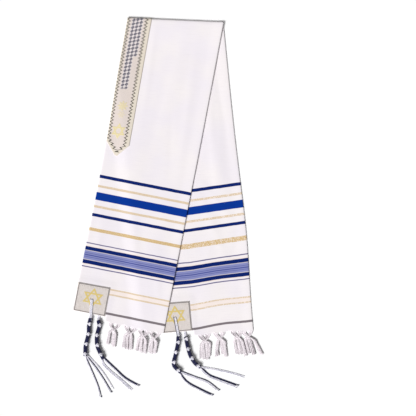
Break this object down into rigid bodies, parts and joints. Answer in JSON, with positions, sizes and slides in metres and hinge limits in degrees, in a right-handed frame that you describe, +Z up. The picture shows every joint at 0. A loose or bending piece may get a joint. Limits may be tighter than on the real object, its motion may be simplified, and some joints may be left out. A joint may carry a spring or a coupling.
{
  "type": "folded prayer shawl",
  "caption": "Striped white prayer shawl, folded lengthwise and over its middle and laid flat in two spread legs, with neckband, corner patches, knotted fringe and corner tassels.",
  "frame": {"origin": "on the surface that the shawl lies on, under the middle of its bounding box", "axes": "+X to the right across the legs, +Y from the fringed ends towards the crease over the shawl's middle, +Z up from the surface"},
  "size_m": [0.5103, 1.0241, 0.013],
  "materials": {
    "woven_white": "matt woven cloth",
    "fringe_yarn": "matt loose yarn",
    "neckband_brocade": "soft sheen brocade",
    "patch_linen": "satin weave patch",
    "tassel_cord": "wound cord"
  },
  "bodies": {
    "root": {"shawl_cloth": "woven_white", "neckband": "neckband_brocade", "corner_patch_1": "patch_linen", "corner_patch_2": "patch_linen", "corner_patch_3": "patch_linen", "corner_patch_4": "patch_linen", "fringe_left": "fringe_yarn", "fringe_right": "fringe_yarn", "tzitzit_1": "tassel_cord", "tzitzit_2": "tassel_cord", "tzitzit_3": "tassel_cord", "tzitzit_4": "tassel_cord"}
  },
  "joints": []
}
